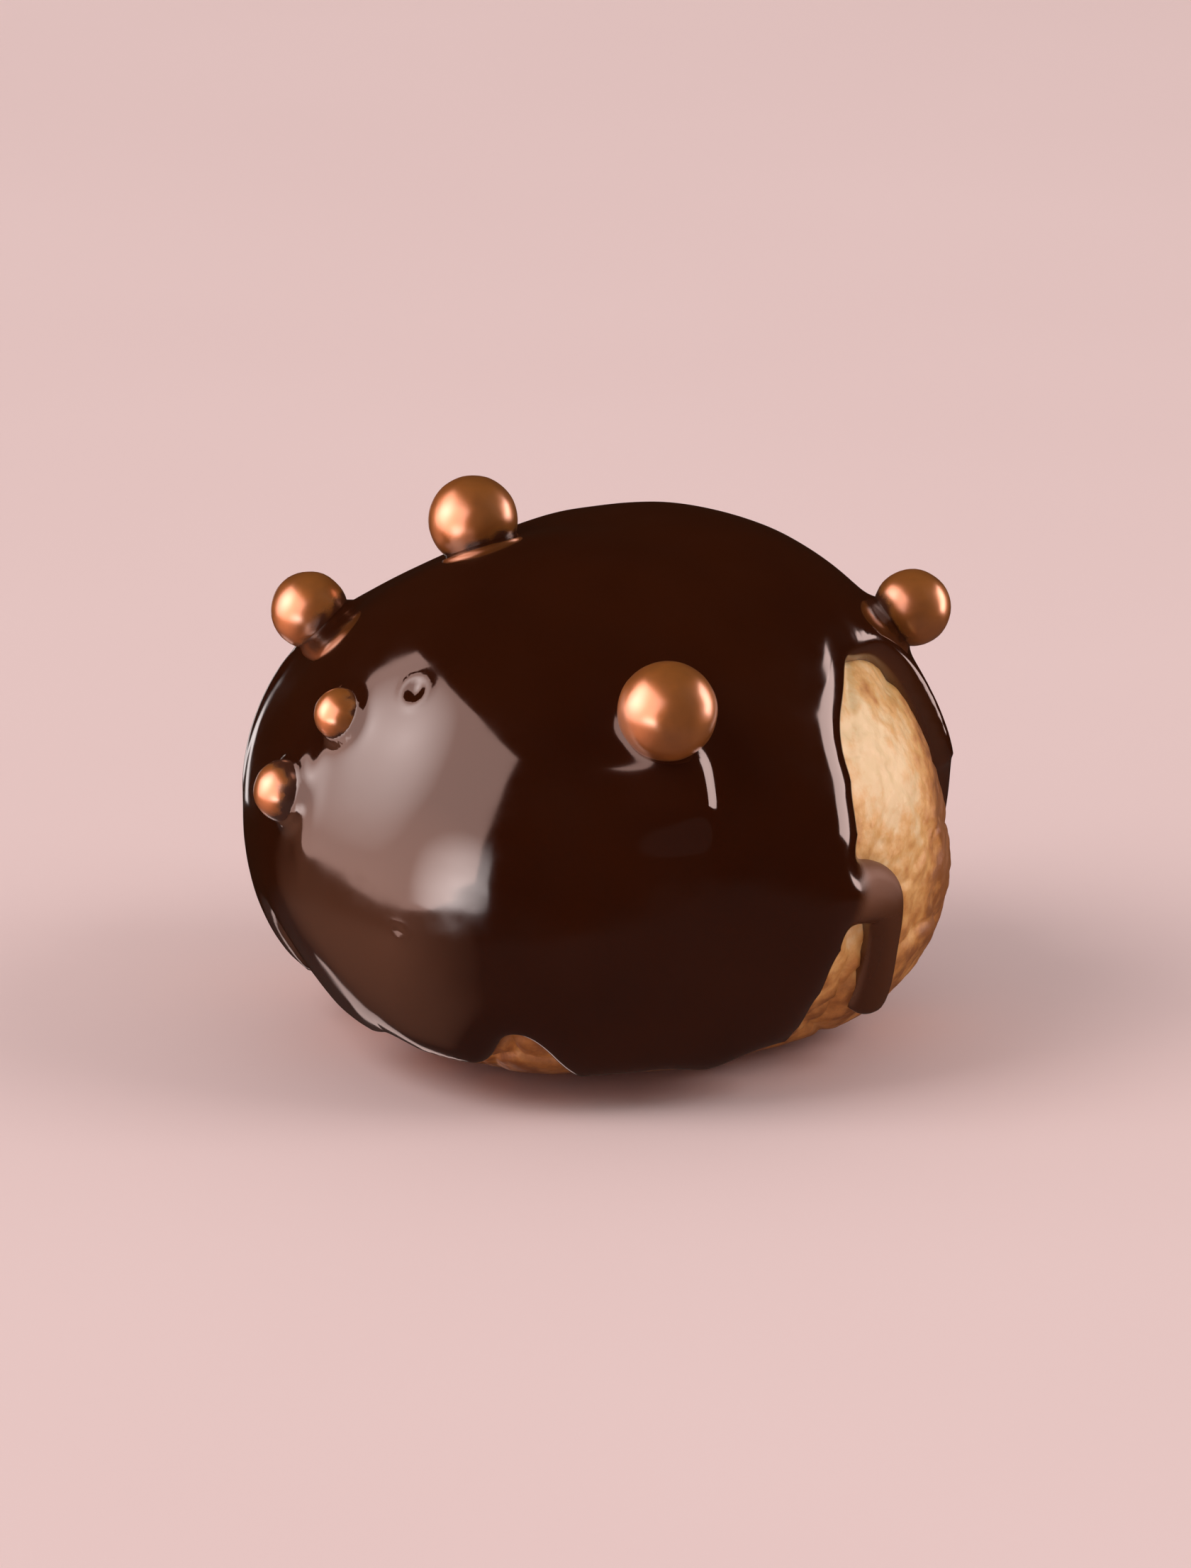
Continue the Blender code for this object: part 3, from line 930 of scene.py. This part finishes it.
def set_stage():
    bm = bmesh.new()
    bmesh.ops.create_circle(bm, cap_ends=True, segments=96, radius=12.0)
    mesh = bpy.data.meshes.new("floor")
    bm.to_mesh(mesh)
    bm.free()
    mesh.materials.append(floor_material())
    floor = bpy.data.objects.new("floor", mesh)
    floor.visible_glossy = False
    bpy.context.scene.collection.objects.link(floor)

    pink = (1.0, 0.62, 0.53)
    warm = (1.0, 0.72, 0.66)
    cool = (1.0, 0.88, 0.86)
    brown = (1.0, 0.42, 0.25)
    add_panel("window", 64, 12.4, 20, (1.12, 0.845), 2.0, pink)
    glow = add_panel("glow", 77, 20, 25, (0.54, 0.66), 2.8, cool, 0.53)
    fade_from(glow, (0, 0), (1, 1))
    pane = add_panel("pane", 46.5, -22.0, 18, (0.36, 0.16), 4.4, cool, 0.52)
    fade_from(pane, (0.35, -0.8), (1.35, 1.8))
    neighbour = add_panel("neighbour", 92, -32, 0, (1.5, 0.8), 0.6, brown)
    fade_from(neighbour, (0, 0), (1, 1))
    add_panel("low_rim", 161, -24, 0, (0.20, 0.08), 1.1, warm)
    add_panel("side", -103.5, 13, 8, (0.225, 0.38), 4.0, warm)
    add_panel("side_tip", -112.5, 34.5, 0, (0.09, 0.067), 4.0, warm)
    add_panel("rim", 163.5, 5.2, 0, (0.06, 0.10), 1.3, cool)
    add_lamp("key", (-1.0, -0.45, 1.1), 1.3, 4.2)
    add_lamp("fill", (1.0, -0.2, 0.8), 1.2, 3.2)
    add_world()
    bpy.context.scene.view_settings.view_transform = "Standard"

    camera = bpy.data.cameras.new("camera")
    camera.sensor_fit = "HORIZONTAL"
    camera.sensor_width = 36
    camera.lens = camera.sensor_width * CAMERA_DISTANCE / FRAME_WIDTH
    camera.clip_start = 0.01
    eye = bpy.data.objects.new("camera", camera)
    axes = camera_axes(0, 0)
    eye.matrix_world = Matrix.Translation(AIM + axes.col[2] * CAMERA_DISTANCE) @ axes.to_4x4()
    bpy.context.scene.collection.objects.link(eye)
    bpy.context.scene.camera = eye


def main():
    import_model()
    set_stage()
    bun = make_bun(choux_material())
    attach(bun, "root")
    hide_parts("choux_bun")
    coat = make_coat(chocolate_material())
    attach(coat, "root")
    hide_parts("chocolate_coat")
    pearls = make_pearls(pearl_material())
    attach(pearls, "root")
    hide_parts("chocolate_coat")
    bpy.context.view_layer.update()


main()
